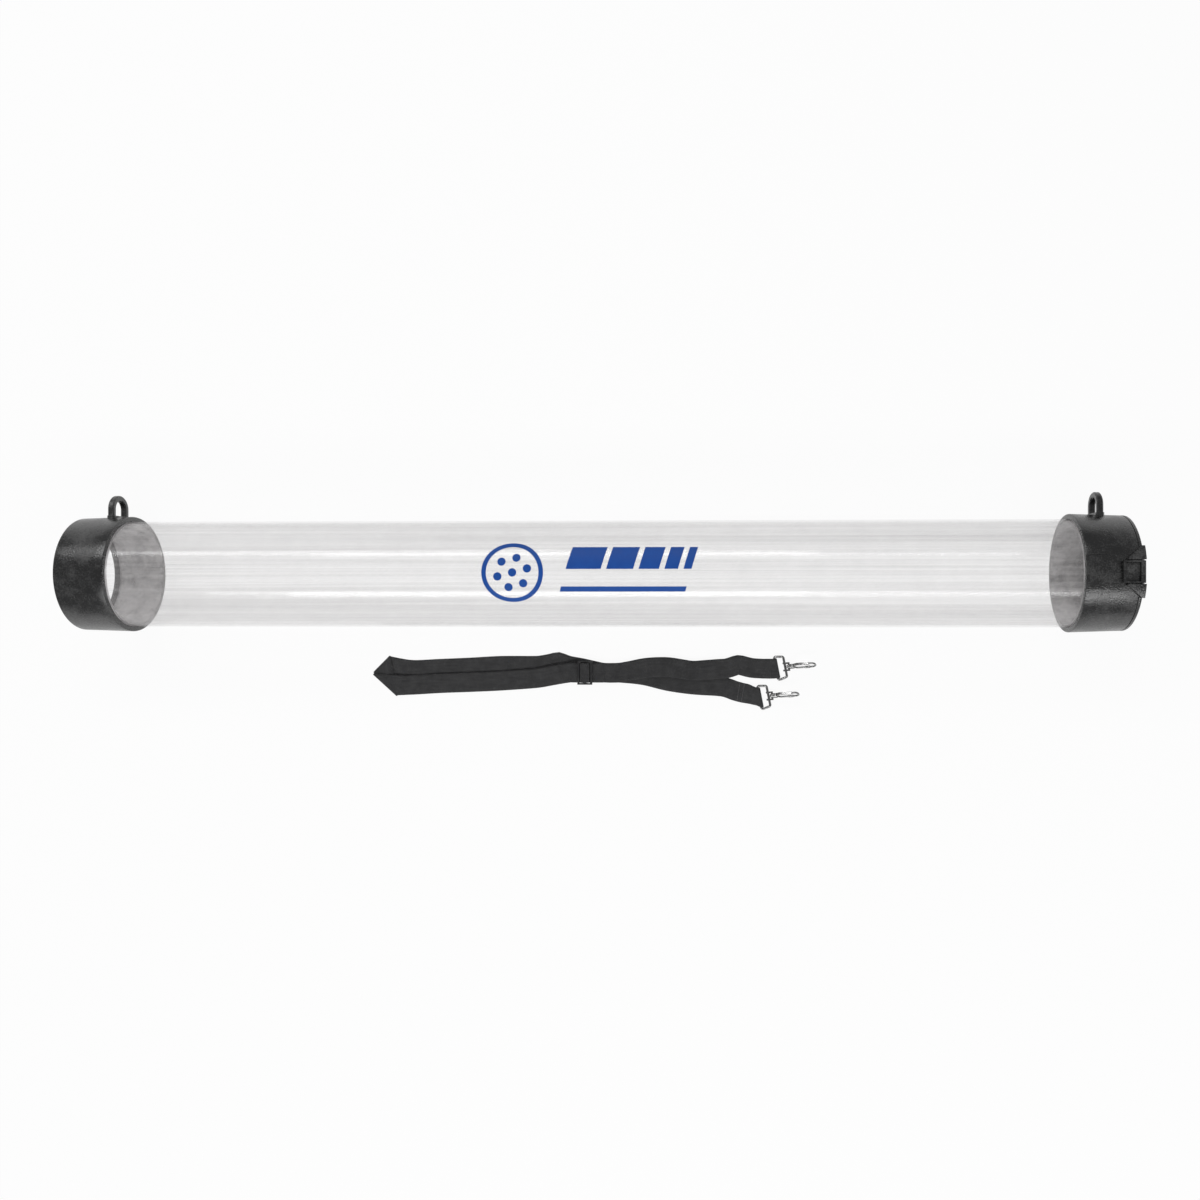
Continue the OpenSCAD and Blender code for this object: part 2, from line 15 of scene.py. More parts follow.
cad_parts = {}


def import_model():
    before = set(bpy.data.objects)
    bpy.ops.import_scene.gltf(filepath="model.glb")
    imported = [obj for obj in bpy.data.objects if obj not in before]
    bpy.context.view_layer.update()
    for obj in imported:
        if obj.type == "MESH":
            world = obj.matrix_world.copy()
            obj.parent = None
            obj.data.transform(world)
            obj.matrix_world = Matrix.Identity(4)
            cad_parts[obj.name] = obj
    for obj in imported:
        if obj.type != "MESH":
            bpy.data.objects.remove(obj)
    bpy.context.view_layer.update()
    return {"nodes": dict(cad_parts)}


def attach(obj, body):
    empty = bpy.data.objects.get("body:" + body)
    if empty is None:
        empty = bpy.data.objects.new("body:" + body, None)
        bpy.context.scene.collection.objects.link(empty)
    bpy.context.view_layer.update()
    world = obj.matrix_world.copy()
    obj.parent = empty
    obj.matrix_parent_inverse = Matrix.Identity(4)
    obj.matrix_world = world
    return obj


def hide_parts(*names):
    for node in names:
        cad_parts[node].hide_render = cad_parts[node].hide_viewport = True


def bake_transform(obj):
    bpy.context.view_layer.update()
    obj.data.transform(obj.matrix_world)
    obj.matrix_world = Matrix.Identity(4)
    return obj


log = logging.getLogger("pickup_tube")
MM = 0.001
FLOOR_Z = -45.1
# CAD corners closer than this, in metres, are one corner
WELD_M = 2e-6
# Triangles this close to one plane, in degrees, are halves of a flat face
FLAT_DEG = 0.4
BEVEL_STEPS = 2


class Body(str, Enum):
    """The CAD bodies that pieces ride on."""

    CARRIER = "carrier"
    LID = "lid"
    LATCH = "latch"
    STRAP = "strap"
    ADJUSTER = "adjuster"


def deselect() -> None:
    """Leaves nothing selected."""
    bpy.ops.object.select_all(action="DESELECT")


def focus(obj: bpy.types.Object) -> None:
    """Makes obj the only selected and the active object.

    Args:
        obj: The object to work on.
    """
    deselect()
    obj.select_set(True)
    bpy.context.view_layer.objects.active = obj


def apply_modifiers(obj: bpy.types.Object) -> None:
    """Applies every modifier of obj in order.

    Args:
        obj: The object whose modifiers become part of its mesh.
    """
    focus(obj)
    for name in [m.name for m in obj.modifiers]:
        bpy.ops.object.modifier_apply(modifier=name)


def place_in_mesh(obj: bpy.types.Object) -> None:
    """Moves obj's place, turn and scale into its mesh.

    Args:
        obj: The object that then sits at the origin.
    """
    focus(obj)
    bpy.ops.object.transform_apply(location=True, rotation=True, scale=True)


def smooth(obj: bpy.types.Object, angle: float) -> None:
    """Shades obj smooth, but for edges sharper than an angle.

    Args:
        obj: The object to shade.
        angle: The sharpest smooth edge, in degrees.
    """
    focus(obj)
    bpy.ops.object.shade_smooth_by_angle(angle=math.radians(angle))


def bevel(obj: bpy.types.Object, width: float, angle: float) -> None:
    """Rounds obj's sharp edges.

    Args:
        obj: The object.
        width: Bevel width in millimetres.
        angle: Edges sharper than this many degrees are rounded.
    """
    m = obj.modifiers.new("edges", "BEVEL")
    m.width = width * MM
    m.segments = BEVEL_STEPS
    m.limit_method = "ANGLE"
    m.angle_limit = math.radians(angle)
    apply_modifiers(obj)


def turn_outwards(obj: bpy.types.Object) -> None:
    """Turns obj's faces so that all point the same way, outwards on a closed shell.

    Args:
        obj: The object.
    """
    focus(obj)
    bpy.ops.object.mode_set(mode="EDIT")
    bpy.ops.mesh.select_all(action="SELECT")
    bpy.ops.mesh.normals_make_consistent(inside=False)
    bpy.ops.object.mode_set(mode="OBJECT")


def join(made: list[bpy.types.Object], name: str) -> bpy.types.Object:
    """Joins objects into the first of them, with their places in the mesh.

    Args:
        made: The objects.
        name: Name of the joined piece.

    Returns:
        The joined piece, at the origin.
    """
    deselect()
    for obj in made:
        obj.select_set(True)
    bpy.context.view_layer.objects.active = made[0]
    bpy.ops.object.transform_apply(location=True, rotation=True, scale=True)
    bpy.ops.object.join()
    made[0].name = name
    return made[0]


def skin_of(node: bpy.types.Object, name: str, flat_faces: bool) -> bpy.types.Object:
    """A copy of a CAD node with its loose triangles merged into a smooth closed skin.

    Args:
        node: The CAD node.
        name: Name of the new piece.
        flat_faces: True to pair the triangles of flat faces, which a bevel needs.

    Returns:
        The new piece, in the same place.
    """
    copy = node.copy()
    copy.data = node.data.copy()
    copy.name = name
    copy.parent = None
    copy.matrix_world = Matrix.Identity(4)
    bpy.context.scene.collection.objects.link(copy)
    focus(copy)
    bpy.ops.object.mode_set(mode="EDIT")
    bpy.ops.mesh.select_all(action="SELECT")
    bpy.ops.mesh.remove_doubles(threshold=WELD_M)
    if flat_faces:
        bpy.ops.mesh.tris_convert_to_quads(face_threshold=math.radians(FLAT_DEG), shape_threshold=math.pi)
    bpy.ops.object.mode_set(mode="OBJECT")
    if copy.data.has_custom_normals:
        bpy.ops.mesh.customdata_custom_splitnormals_clear()
    smooth(copy, 32)
    return copy


def paint(obj: bpy.types.Object, material: bpy.types.Material) -> None:
    """Gives obj its one material.

    Args:
        obj: The piece.
        material: The finish.
    """
    obj.data.materials.clear()
    obj.data.materials.append(material)


def socket(group: bpy.types.ShaderNodeTree, name: str, out: bool, kind: str = "Float",
           value: float | None = None) -> None:
    """Adds a named socket to a node group.

    Args:
        group: The group.
        name: The socket's name.
        out: True for an output.
        kind: Float or Vector.
        value: Default of an input.
    """
    s = group.interface.new_socket(name, in_out="OUTPUT" if out else "INPUT", socket_type=f"NodeSocket{kind}")
    if value is not None:
        s.default_value = value


def math_node(tree: bpy.types.NodeTree, op: str, a: object, b: object = None) -> bpy.types.NodeSocket:
    """Adds a Math node fed by sockets or numbers.

    Args:
        tree: The node tree.
        op: The operation.
        a: First input.
        b: Second input.

    Returns:
        The result socket.
    """
    n = tree.nodes.new("ShaderNodeMath")
    n.operation = op
    for i, v in enumerate((a, b)):
        if isinstance(v, bpy.types.NodeSocket):
            tree.links.new(v, n.inputs[i])
        elif v is not None:
            n.inputs[i].default_value = v
    return n.outputs[0]


def noise_node(tree: bpy.types.NodeTree, vector: bpy.types.NodeSocket, scale: object, detail: float,
               rough: float) -> bpy.types.NodeSocket:
    """Adds a noise texture.

    Args:
        tree: The node tree.
        vector: Its coordinates.
        scale: Its scale, a socket or a number.
        detail: Its octaves.
        rough: How strong the fine octaves are.

    Returns:
        The noise's value socket.
    """
    n = tree.nodes.new("ShaderNodeTexNoise")
    n.inputs["Detail"].default_value = detail
    n.inputs["Roughness"].default_value = rough
    tree.links.new(vector, n.inputs["Vector"])
    if isinstance(scale, bpy.types.NodeSocket):
        tree.links.new(scale, n.inputs["Scale"])
    else:
        n.inputs["Scale"].default_value = scale
    return n.outputs["Fac"]


def stretched_noise(tree: bpy.types.NodeTree, vector: bpy.types.NodeSocket, scale: tuple[float, float, float],
                    detail: float, rough: float) -> bpy.types.NodeSocket:
    """Adds a noise texture with a scale of its own on each axis.

    Args:
        tree: The node tree.
        vector: Its coordinates.
        scale: Its three scales.
        detail: Its octaves.
        rough: How strong the fine octaves are.

    Returns:
        The noise's value socket.
    """
    stretch = tree.nodes.new("ShaderNodeMapping")
    stretch.inputs["Scale"].default_value = scale
    tree.links.new(vector, stretch.inputs["Vector"])
    return noise_node(tree, stretch.outputs["Vector"], 1, detail, rough)


def weighted(tree: bpy.types.NodeTree, a: bpy.types.NodeSocket, share_a: float, b: bpy.types.NodeSocket,
             share_b: float) -> bpy.types.NodeSocket:
    """Adds two values, each times its share.

    Args:
        tree: The node tree.
        a: First value.
        share_a: Its share.
        b: Second value.
        share_b: Its share.

    Returns:
        The result socket.
    """
    first = math_node(tree, "MULTIPLY", a, share_a)
    return math_node(tree, "ADD", first, math_node(tree, "MULTIPLY", b, share_b))


def ramp_node(tree: bpy.types.NodeTree, value: bpy.types.NodeSocket, source: tuple[float, float],
              target: tuple[float, float] = (0, 1)) -> bpy.types.NodeSocket:
    """Adds a Map Range node, clamped at both ends.

    Args:
        tree: The node tree.
        value: The value to map.
        source: The value's own range.
        target: The range that it is mapped to.

    Returns:
        The result socket.
    """
    n = tree.nodes.new("ShaderNodeMapRange")
    n.inputs["From Min"].default_value, n.inputs["From Max"].default_value = source
    n.inputs["To Min"].default_value, n.inputs["To Max"].default_value = target
    tree.links.new(value, n.inputs["Value"])
    return n.outputs["Result"]


def new_material(name: str) -> tuple[bpy.types.Material, bpy.types.NodeTree, bpy.types.ShaderNode]:
    """Makes a material with a Principled BSDF.

    Args:
        name: The material's name.

    Returns:
        The material, its nodes and its shader.
    """
    mat = bpy.data.materials.new(name)
    mat.use_nodes = True
    return mat, mat.node_tree, mat.node_tree.nodes["Principled BSDF"]


def place_group(tree: bpy.types.NodeTree, group: bpy.types.ShaderNodeTree, vector: bpy.types.NodeSocket,
                values: dict[str, float] | None = None) -> bpy.types.ShaderNodeGroup:
    """Places a shader group, whose first input is its coordinates.

    Args:
        tree: The material's nodes.
        group: The group.
        vector: Its coordinates.
        values: Its other inputs, by name.

    Returns:
        The group's node.
    """
    n = tree.nodes.new("ShaderNodeGroup")
    n.node_tree = group
    tree.links.new(vector, n.inputs[0])
    for name, value in (values or {}).items():
        n.inputs[name].default_value = value
    return n


def mix_base(tree: bpy.types.NodeTree, share: bpy.types.NodeSocket, first: tuple[float, float, float],
             second: tuple[float, float, float], shader: bpy.types.ShaderNode) -> None:
    """Mixes two colours into a shader's base colour.

    Args:
        tree: The material's nodes.
        share: The share of the second colour.
        first: The first colour.
        second: The second colour.
        shader: The shader.
    """
    mix = tree.nodes.new("ShaderNodeMix")
    mix.data_type = "RGBA"
    mix.inputs["A"].default_value = (*first, 1)
    mix.inputs["B"].default_value = (*second, 1)
    tree.links.new(share, mix.inputs["Factor"])
    tree.links.new(mix.outputs["Result"], shader.inputs["Base Color"])


def bump_node(tree: bpy.types.NodeTree, height: bpy.types.NodeSocket, depth_mm: float,
              shader: bpy.types.ShaderNode) -> None:
    """Feeds a height to a shader's normal.

    Args:
        tree: The material's nodes.
        height: The height, in steps of depth_mm.
        depth_mm: How high a height of 1 stands.
        shader: The shader.
    """
    n = tree.nodes.new("ShaderNodeBump")
    n.inputs["Strength"].default_value = 1
    n.inputs["Distance"].default_value = depth_mm * MM
    tree.links.new(height, n.inputs["Height"])
    tree.links.new(n.outputs["Normal"], shader.inputs["Normal"])


def grain_group() -> bpy.types.ShaderNodeTree:
    """The moulded grain and handling marks of plastic and metal.

    Returns:
        A group with Height, Mottle and Rub outputs. Rub is patchy and speckled by the grain; where it
        lightens a dark base, as on the collars, the speckle is painted glint.
    """
    g = bpy.data.node_groups.new("moulded_grain", "ShaderNodeTree")
    socket(g, "Coordinates", False, "Vector")
    socket(g, "Grain per metre", False, value=1800)
    socket(g, "Mottle per metre", False, value=60)
    for name in ("Height", "Mottle", "Rub"):
        socket(g, name, True)
    gi, go = g.nodes.new("NodeGroupInput"), g.nodes.new("NodeGroupOutput")
    at = gi.outputs["Coordinates"]
    height = noise_node(g, at, gi.outputs["Grain per metre"], 2, 0.55)
    mottle = noise_node(g, at, gi.outputs["Mottle per metre"], 5, 0.62)
    both = weighted(g, mottle, 0.62, height, 0.38)
    g.links.new(height, go.inputs["Height"])
    g.links.new(mottle, go.inputs["Mottle"])
    g.links.new(ramp_node(g, both, (0.47, 0.63)), go.inputs["Rub"])
    return g


def haze_group() -> bpy.types.ShaderNodeTree:
    """Draw lines along a tube, and the cloudy scuffs where it sits in its collars.

    Returns:
        A group with Haze, Line and Scuff outputs.
    """
    g = bpy.data.node_groups.new("drawn_haze", "ShaderNodeTree")
    socket(g, "Coordinates", False, "Vector")
    socket(g, "Clouds per metre", False, value=45)
    socket(g, "Middle", False, value=0.4)
    socket(g, "Half bare length", False, value=0.36)
    for name in ("Haze", "Line", "Scuff"):
        socket(g, name, True)
    gi, go = g.nodes.new("NodeGroupInput"), g.nodes.new("NodeGroupOutput")
    at = gi.outputs["Coordinates"]
    broad = stretched_noise(g, at, (1.1, 95, 95), 2, 0.5)
    fine = stretched_noise(g, at, (2.5, 420, 420), 2, 0.5)
    clouds = noise_node(g, at, gi.outputs["Clouds per metre"], 6, 0.6)
    line = weighted(g, broad, 0.5, fine, 0.5)
    haze = weighted(g, line, 0.88, clouds, 0.12)
    g.links.new(ramp_node(g, haze, (0.42, 0.6)), go.inputs["Haze"])
    g.links.new(line, go.inputs["Line"])
    xyz = g.nodes.new("ShaderNodeSeparateXYZ")
    g.links.new(at, xyz.inputs[0])
    off = math_node(g, "ABSOLUTE", math_node(g, "SUBTRACT", xyz.outputs[0], gi.outputs["Middle"]))
    held = math_node(g, "GREATER_THAN", off, gi.outputs["Half bare length"])
    patches = ramp_node(g, noise_node(g, at, 95, 5, 0.6), (0.38, 0.62), (0.35, 1))
    g.links.new(math_node(g, "MULTIPLY", held, patches), go.inputs["Scuff"])
    return g


def weave_group() -> bpy.types.ShaderNodeTree:
    """A warp-faced ribbed weave on a UV map in centimetres.

    Returns:
        A group with Height and Shade outputs; Shade is painted highlight on the weave's raised crowns plus
        random worn tone.
    """
    g = bpy.data.node_groups.new("ribbed_weave", "ShaderNodeTree")
    socket(g, "UV", False, "Vector")
    socket(g, "Ribs per cm", False, value=9)
    socket(g, "Picks per cm", False, value=7)
    socket(g, "Height", True)
    socket(g, "Shade", True)
    gi, go = g.nodes.new("NodeGroupInput"), g.nodes.new("NodeGroupOutput")
    at = gi.outputs["UV"]
    xyz = g.nodes.new("ShaderNodeSeparateXYZ")
    g.links.new(at, xyz.inputs[0])
    u = math_node(g, "MULTIPLY", xyz.outputs[0], gi.outputs["Ribs per cm"])
    v = math_node(g, "MULTIPLY", xyz.outputs[1], gi.outputs["Picks per cm"])
    # Neighbouring ribs are half a pick out of step
    parity = math_node(g, "MULTIPLY", math_node(g, "FLOOR", u), 0.5)
    rib = math_node(g, "ABSOLUTE", math_node(g, "SINE", math_node(g, "MULTIPLY", u, math.pi)))
    shifted = math_node(g, "ADD", v, parity)
    pick = math_node(g, "ABSOLUTE", math_node(g, "SINE", math_node(g, "MULTIPLY", shifted, math.pi)))
    height = math_node(g, "MULTIPLY", math_node(g, "POWER", rib, 0.6), math_node(g, "POWER", pick, 0.5))
    fuzz = noise_node(g, at, 26, 3, 0.5)
    wear = noise_node(g, at, 1.3, 3, 0.5)
    creases = stretched_noise(g, at, (0.22, 0.75, 1), 3, 0.55)
    pulled_yarns = stretched_noise(g, at, (7, 0.5, 1), 3, 0.55)
    soft = weighted(g, height, 0.8, fuzz, 0.25)
    g.links.new(math_node(g, "ADD", soft, math_node(g, "MULTIPLY", creases, 16)), go.inputs["Height"])
    worn = ramp_node(g, weighted(g, wear, 0.35, pulled_yarns, 0.25), (0.2, 0.4), (0, 0.6))
    # Shade: painted highlight where the weave stands high, plus the random worn tone
    g.links.new(math_node(g, "ADD", math_node(g, "MULTIPLY", soft, 0.55), worn), go.inputs["Shade"])
    return g


@dataclass(frozen=True)
class Finish:
    """A plastic or metal finish with grain, mottling and rubbed patches, whose light speckle on a dark base
    is painted glint.
    """

    name: str
    base: tuple[float, float, float]
    rubbed: tuple[float, float, float]
    roughness: float
    rubbed_roughness: float
    metallic: float = 0.0
    grain_per_m: float = 1800.0
    mottle_per_m: float = 60.0
    grain_depth_mm: float = 0.02
    specular: float = 0.5

    def make(self, grain: bpy.types.ShaderNodeTree) -> bpy.types.Material:
        """Builds the material.

        Args:
            grain: The moulded grain group.

        Returns:
            The material.
        """
        mat, t, b = new_material(self.name)
        b.inputs["Metallic"].default_value = self.metallic
        b.inputs["Specular IOR Level"].default_value = self.specular
        coord = t.nodes.new("ShaderNodeTexCoord")
        g = place_group(t, grain, coord.outputs["Object"],
                        {"Grain per metre": self.grain_per_m, "Mottle per metre": self.mottle_per_m})
        # The second colour is random rubbed tone; on the dark collars its grain speckle is painted glint
        mix_base(t, g.outputs["Rub"], self.base, self.rubbed, b)
        rough = ramp_node(t, g.outputs["Mottle"], (0.35, 0.65), (self.roughness, self.rubbed_roughness))
        t.links.new(rough, b.inputs["Roughness"])
        bump_node(t, g.outputs["Height"], self.grain_depth_mm, b)
        return mat


@dataclass(frozen=True)
class ClearPlastic:
    """The clear tube's plastic, a wall so thin that light goes straight on through it.

    Each face of the wall shows a share of haze and lets the rest of the light through.
    """

    name: str = "clear_tube_plastic"
    haze: tuple[float, float, float] = (0.725, 0.705, 0.705)
    clearest: float = 0.055
    haziest: float = 0.18
    scuffed: float = 0.73
    middle_m: float = 0.40125
    half_bare_m: float = 0.36225
    ior: float = 1.95
    # What a wall seen aslant adds, and the Facing values between which it comes in
    slanting: float = 0.08
    aslant: tuple[float, float] = (0.06, 0.36)
    roughness: tuple[float, float] = (0.06, 0.15)
    scuffed_roughness: float = 0.5
    line_depth_mm: float = 0.16

    def make(self, haze: bpy.types.ShaderNodeTree) -> bpy.types.Material:
        """Builds the material.

        Args:
            haze: The drawn haze group.

        Returns:
            The material.
        """
        mat, t, b = new_material(self.name)
        b.inputs["Base Color"].default_value = (*self.haze, 1)
        # A high index makes up for the share of the gloss that the clear part would have
        b.inputs["IOR"].default_value = self.ior
        coord = t.nodes.new("ShaderNodeTexCoord")
        g = place_group(t, haze, coord.outputs["Object"],
                        {"Middle": self.middle_m, "Half bare length": self.half_bare_m})
        share = ramp_node(t, g.outputs["Haze"], (0, 1), (self.clearest, self.haziest))
        share = math_node(t, "ADD", share, math_node(t, "MULTIPLY", g.outputs["Scuff"], self.scuffed))
        # A wall seen aslant is a thicker one, so the tube's two sides stand out more
        slant = t.nodes.new("ShaderNodeLayerWeight")
        slant.inputs["Blend"].default_value = 0.5
        added = ramp_node(t, slant.outputs["Facing"], self.aslant, (0, self.slanting))
        t.links.new(math_node(t, "ADD", share, added), b.inputs["Alpha"])
        drawn = ramp_node(t, g.outputs["Line"], (0.35, 0.65), self.roughness)
        dull = math_node(t, "MULTIPLY", g.outputs["Scuff"], self.scuffed_roughness)
        t.links.new(math_node(t, "ADD", drawn, dull), b.inputs["Roughness"])
        bump_node(t, g.outputs["Line"], self.line_depth_mm, b)
        return mat


@dataclass(frozen=True)
class Webbing:
    """Black woven polyester, with painted highlight on the crowns of its yarns and random worn tone."""

    name: str = "woven_webbing"
    dark: tuple[float, float, float] = (0.008, 0.008, 0.009)
    # Colour of the painted highlight on the yarn crowns, and of worn yarns
    light: tuple[float, float, float] = (0.048, 0.048, 0.049)
    roughness: float = 0.78
    sheen: float = 0.25
    sheen_roughness: float = 0.4
    relief_mm: float = 0.22

    def make(self, weave: bpy.types.ShaderNodeTree) -> bpy.types.Material:
        """Builds the material.

        Args:
            weave: The ribbed weave group.

        Returns:
            The material.
        """
        mat, t, b = new_material(self.name)
        b.inputs["Roughness"].default_value = self.roughness
        b.inputs["Sheen Weight"].default_value = self.sheen
        b.inputs["Sheen Roughness"].default_value = self.sheen_roughness
        uv = t.nodes.new("ShaderNodeUVMap")
        uv.uv_map = "strap"
        g = place_group(t, weave, uv.outputs["UV"])
        # The lighter colour is painted highlight on the yarn crowns plus random worn tone
        mix_base(t, g.outputs["Shade"], self.dark, self.light, b)
        bump_node(t, g.outputs["Height"], self.relief_mm, b)
        return mat


@dataclass
class Palette:
    """Every material of the object, built once."""

    def __post_init__(self) -> None:
        """Builds the shader groups and the materials."""
        grain = grain_group()
        self.tube = ClearPlastic().make(haze_group())
        # The collar's much lighter second colour paints glints into the grain speckle, over random patchy
        # tone
        self.collar = Finish("collar_black_plastic", (0.004, 0.004, 0.0042), (0.07, 0.07, 0.0692), 0.2, 0.4,
                             specular=0.75, grain_per_m=950, mottle_per_m=42, grain_depth_mm=0.17).make(grain)
        self.adjuster = Finish("adjuster_black_plastic", (0.018, 0.018, 0.019), (0.036, 0.036, 0.037), 0.34,
                               0.46, grain_per_m=3000, mottle_per_m=90, grain_depth_mm=0.015).make(grain)
        self.nickel = Finish("hook_nickel", (0.26, 0.26, 0.258), (0.2, 0.2, 0.2), 0.12, 0.24,
                             metallic=1, grain_per_m=3500, mottle_per_m=200, grain_depth_mm=0.004).make(grain)
        self.pin = Finish("pin_steel", (0.5, 0.5, 0.51), (0.42, 0.42, 0.43), 0.28, 0.42,
                          metallic=1, grain_per_m=4000, mottle_per_m=200, grain_depth_mm=0.004).make(grain)
        self.print = Finish("print_blue_ink", (0.012, 0.075, 0.345), (0.014, 0.086, 0.38), 0.45, 0.55,
                            specular=0.2, grain_per_m=2500, mottle_per_m=120,
                            grain_depth_mm=0.004).make(grain)
        self.thread = Finish("strap_thread", (0.07, 0.07, 0.071), (0.11, 0.11, 0.112), 0.6, 0.7,
                             grain_per_m=5000, mottle_per_m=400, grain_depth_mm=0.03).make(grain)
        self.webbing = Webbing().make(weave_group())


@dataclass
class ClearTube:
    """The clear tube with polished ends, and the print on it."""

    outer_r: float = 41.25
    wall: float = 1.5
    start_x: float = 2.5
    length: float = 797.6
    sides: int = 256
    end_round: float = 0.25
    # Where the print starts along the tube, and how far it stands off the tube
    print_x: float = 319.5
    print_lift: float = 0.06
    # The ball's middle from the print's start, its radius, and its line's width
    ball_x: float = 27.0
    ball_r: float = 23.0
    ball_line: float = 3.4
    dot_r: float = 3.1
    dot_ring_r: float = 11.4
    slant: float = 0.28
    # Each stripe's place round the tube, its two ends along it, and its height
    stripes: tuple[tuple[float, float, float, float], ...] = (
        (11, 66, 92, 17), (11, 96, 116, 17), (11, 120, 135, 17), (11, 139, 149, 17), (11, 153, 159, 17),
        (-12.5, 66, 159, 4))

    def build(self, palette: Palette) -> None:
        """Builds the tube and its print.

        Args:
            palette: The materials.
        """
        bpy.ops.mesh.primitive_cylinder_add(
            vertices=self.sides, radius=self.outer_r * MM, depth=self.length * MM, end_fill_type="NOTHING",
            location=((self.start_x + self.length / 2) * MM, 0, 0), rotation=(0, math.pi / 2, 0))
        tube = bpy.context.active_object
        tube.name = "clear_tube"
        place_in_mesh(tube)
        wall = tube.modifiers.new("wall", "SOLIDIFY")
        wall.thickness = self.wall * MM
        wall.offset = -1
        apply_modifiers(tube)
        bevel(tube, self.end_round, 60)
        smooth(tube, 20)
        paint(tube, palette.tube)
        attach(tube, Body.CARRIER.value)
        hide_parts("tube")
        log.info("clear tube: %d faces", len(tube.data.polygons))
        self.build_print(palette)

    def onto_tube(self, obj: bpy.types.Object) -> None:
        """Lays a flat shape, drawn in the XY plane, round the top of the tube.

        Args:
            obj: The flat shape. Its Y is distance round the tube.
        """
        r = (self.outer_r + self.print_lift) * MM
        for v in obj.data.vertices:
            a = v.co.y / r
            v.co.y, v.co.z = r * math.sin(a), r * math.cos(a)

    def build_print(self, palette: Palette) -> None:
        """Builds a plain printed mark: a ball with dots, shrinking slanted stripes and a line.

        Args:
            palette: The materials.
        """
        cx = self.print_x + self.ball_x
        bpy.ops.mesh.primitive_circle_add(vertices=96, radius=self.ball_r * MM, location=(cx * MM, 0, 0))
        ring = bpy.context.active_object
        bpy.ops.object.mode_set(mode="EDIT")
        bpy.ops.mesh.select_all(action="SELECT")
        bpy.ops.mesh.extrude_edges_move()
        k = (self.ball_r - self.ball_line) / self.ball_r
        bpy.ops.transform.resize(value=(k, k, k), center_override=(cx * MM, 0, 0))
        bpy.ops.object.mode_set(mode="OBJECT")
        made = [ring]
        # Six dots in a ring and one in the middle
        for i in range(7):
            a = math.radians(60 * i + 15)
            d = 0 if i == 6 else self.dot_ring_r
            bpy.ops.mesh.primitive_circle_add(
                vertices=40, radius=self.dot_r * MM, fill_type="TRIFAN",
                location=((cx + d * math.cos(a)) * MM, d * math.sin(a) * MM, 0))
            made.append(bpy.context.active_object)
        for y, x0, x1, h in self.stripes:
            bpy.ops.mesh.primitive_grid_add(
                x_subdivisions=2, y_subdivisions=16, size=1,
                location=((self.print_x + (x0 + x1) / 2 + self.slant * y) * MM, y * MM, 0))
            bar = bpy.context.active_object
            for v in bar.data.vertices:
                v.co.x += self.slant * v.co.y * h / (x1 - x0)
            bar.scale = ((x1 - x0) * MM, h * MM, 1)
            made.append(bar)
        join(made, "blue_print")
        self.onto_tube(ring)
        turn_outwards(ring)
        if sum(p.normal.z for p in ring.data.polygons) < 0:
            ring.data.flip_normals()
        smooth(ring, 60)
        paint(ring, palette.print)
        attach(ring, Body.CARRIER.value)
        log.info("print: %d faces", len(ring.data.polygons))


@dataclass
class CadSkin:
    """A piece that keeps the CAD node's own shape, with its edges broken."""

    node: str
    body: str
    slot: str
    edge_mm: float = 0.0

    def build(self, nodes: dict[str, bpy.types.Object], material: bpy.types.Material) -> None:
        """Builds the piece.

        Args:
            nodes: The CAD nodes.
            material: Its finish.
        """
        piece = skin_of(nodes[self.node], f"{self.node}_skin", self.edge_mm > 0)
        if self.edge_mm:
            bevel(piece, self.edge_mm, 40)
            smooth(piece, 40)
        paint(piece, material)
        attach(piece, self.body)
        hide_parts(self.node)
        log.info("%s: %d faces", piece.name, len(piece.data.polygons))


Station = tuple[Vector, Vector]


